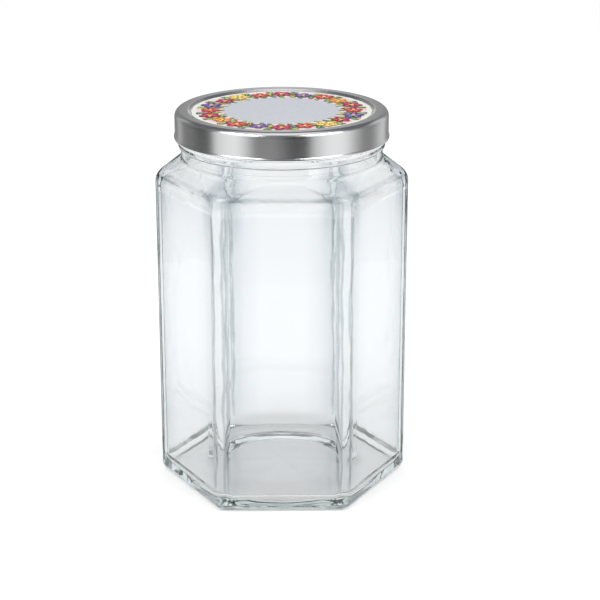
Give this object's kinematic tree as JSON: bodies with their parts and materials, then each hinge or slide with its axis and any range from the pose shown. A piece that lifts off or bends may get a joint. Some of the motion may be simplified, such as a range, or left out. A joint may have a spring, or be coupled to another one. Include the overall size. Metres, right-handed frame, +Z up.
{
  "type": "hexagonal glass jar",
  "caption": "Empty clear glass storage jar with a hexagonal body, round neck and a closed twist-off steel lid.",
  "frame": {"origin": "centre of the underside, on the surface the jar stands on", "axes": "+Z up along the jar's axis, two flat sides face -Y and +Y, two corners point along -X and +X"},
  "size_m": [0.1344, 0.118, 0.205],
  "materials": {
    "clear_glass": "clear moulded soda-lime glass, faintly grey-green in thick places",
    "tinplate": "bright lacquered tinplate, satin, with a printed panel on top",
    "seal_compound": "soft off-white sealing compound"
  },
  "bodies": {
    "root": {"glass_jar": "clear_glass", "lid": "tinplate", "seal_ring": "seal_compound"}
  },
  "joints": []
}
